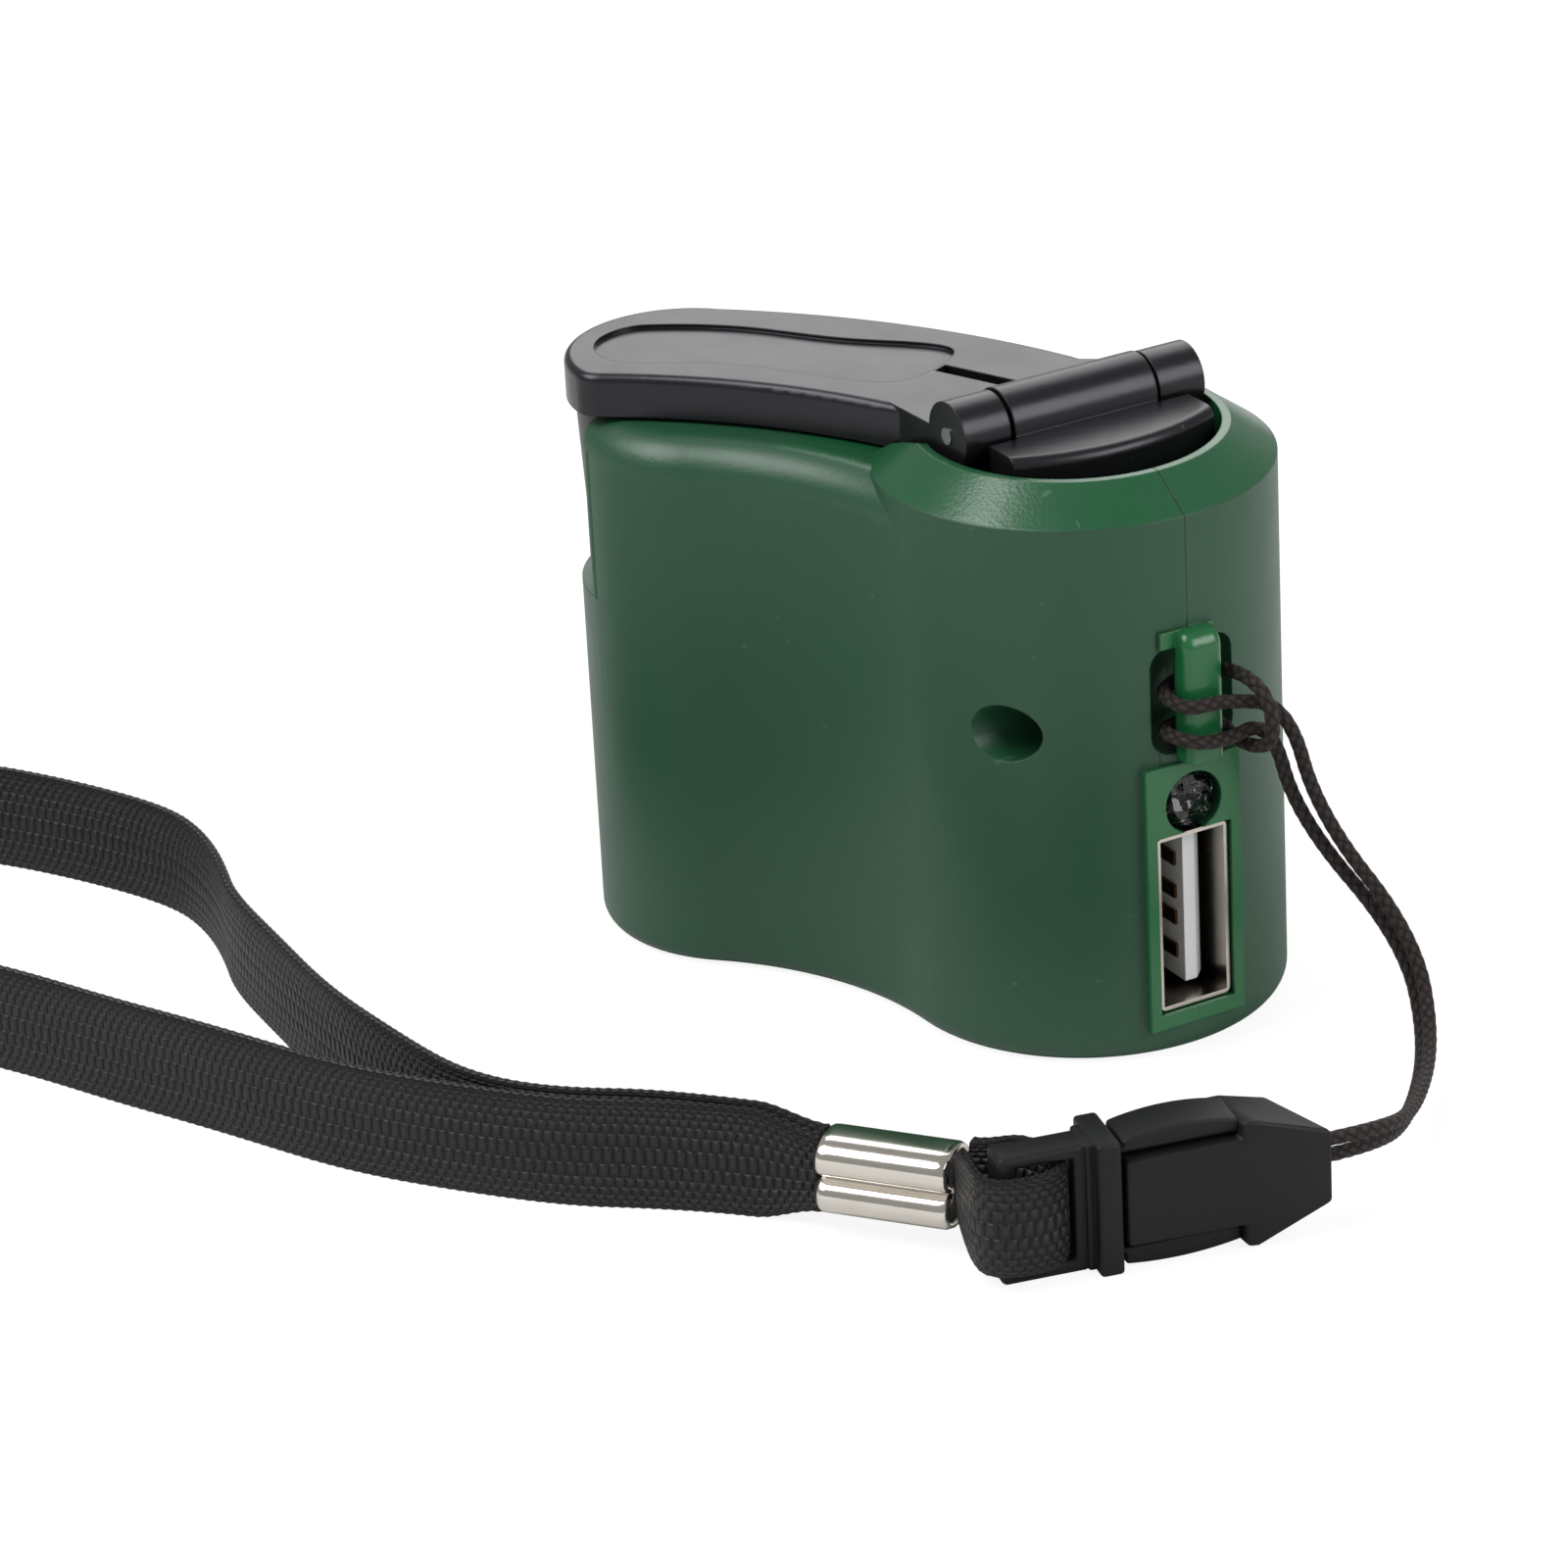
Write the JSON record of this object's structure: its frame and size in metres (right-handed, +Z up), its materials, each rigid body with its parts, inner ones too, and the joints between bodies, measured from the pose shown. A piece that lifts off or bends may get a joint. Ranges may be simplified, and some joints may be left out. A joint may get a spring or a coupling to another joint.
{
  "type": "hand crank phone charger",
  "caption": "Pocket dynamo charger: green two-part casing, black folding crank with knob, USB socket, clear light and a black wrist lanyard.",
  "frame": {"origin": "on the crank's axis at the casing's flat base", "axes": "+X out of the USB socket, +Y along the crank's hinge towards the rear half, +Z up along the crank's axis"},
  "size_m": [0.1226, 0.1005, 0.0457],
  "materials": {
    "green_plastic": "satin moulded plastic",
    "black_gloss": "glossy moulded plastic",
    "black_matte": "matte moulded plastic",
    "white_plastic": "plain moulded plastic",
    "steel": "plain steel",
    "nickel": "nickel plated",
    "gold": "brass",
    "copper": "copper",
    "iron": "stacked iron sheets",
    "ferrite": "sintered ferrite",
    "clear_lens": "clear",
    "board": "phenolic board",
    "capacitor_sleeve": "shrink sleeve",
    "chrome": "polished plating",
    "black_webbing": "woven nylon",
    "black_cord": "braided nylon",
    "red_wire": "wire insulation",
    "black_wire": "wire insulation"
  },
  "bodies": {
    "casing": {"front_shell": "green_plastic", "rear_shell": "green_plastic", "case_screw": "steel", "usb_shell": "nickel", "usb_tongue": "white_plastic", "usb_contacts": "gold", "led_lens": "clear_lens", "led_legs": "nickel", "circuit_board": "board", "diodes": "black_matte", "capacitor": "capacitor_sleeve", "regulator_chip": "black_matte", "generator_can": "nickel", "generator_cap": "white_plastic", "generator_magnets": "ferrite", "generator_terminals": "gold", "lower_plate": "steel", "upper_plate": "steel", "plate_pillars": "gold", "plate_screws": "steel", "gear_axles": "steel", "buckle_plug": "black_matte", "buckle_socket": "black_matte", "ferrule": "chrome", "strap_loop": "black_webbing", "webbing_loop": "black_webbing", "lanyard_cord": "black_cord", "generator_wire_red": "red_wire", "generator_wire_black": "black_wire"},
    "crank": {"crank_hub": "black_gloss", "hub_washer": "steel", "hub_screw": "steel", "main_gear": "white_plastic"},
    "arm": {"crank_arm": "black_gloss", "hinge_pin": "steel", "knob_screw": "steel"},
    "knob": {"knob": "black_gloss"},
    "first_compound": {"first_gear": "white_plastic"},
    "second_compound": {"second_gear": "white_plastic"},
    "rotor": {"rotor_shaft": "steel", "rotor_core": "iron", "rotor_windings": "copper", "commutator": "copper", "rotor_pinion": "gold"}
  },
  "joints": [
    {"name": "crank_spin", "type": "hinge", "parent": "casing", "child": "crank", "pos_m": [0, 0, 0.038], "axis": [0, 0, 1], "range_deg": [-1, 1]},
    {"name": "crank_fold", "type": "hinge", "parent": "crank", "child": "arm", "pos_m": [-0.0004, 0, 0.04325], "axis": [0, 1, 0], "range_deg": [0, 180]},
    {"name": "knob_spin", "type": "hinge", "parent": "arm", "child": "knob", "pos_m": [-0.0286, -0.01685, 0.034], "axis": [0, 0, 1], "continuous": true},
    {"name": "first_compound_spin", "type": "hinge", "parent": "casing", "child": "first_compound", "pos_m": [-0.01059, -0.00449, 0.028], "axis": [0, 0, 1], "range_deg": [-4.6, 4.6]},
    {"name": "second_compound_spin", "type": "hinge", "parent": "casing", "child": "second_compound", "pos_m": [-0.02047, -0.00803, 0.023], "axis": [0, 0, 1], "range_deg": [-12.52, 12.52]},
    {"name": "rotor_spin", "type": "hinge", "parent": "casing", "child": "rotor", "pos_m": [-0.02441, -0.01381, 0.012], "axis": [0, 0, 1], "range_deg": [-29.8, 29.8]}
  ],
  "couplings": [
    {"joint": "first_compound_spin", "follows": "crank_spin", "ratio": -3.6},
    {"joint": "second_compound_spin", "follows": "crank_spin", "ratio": 11.52},
    {"joint": "rotor_spin", "follows": "crank_spin", "ratio": -28.8}
  ]
}
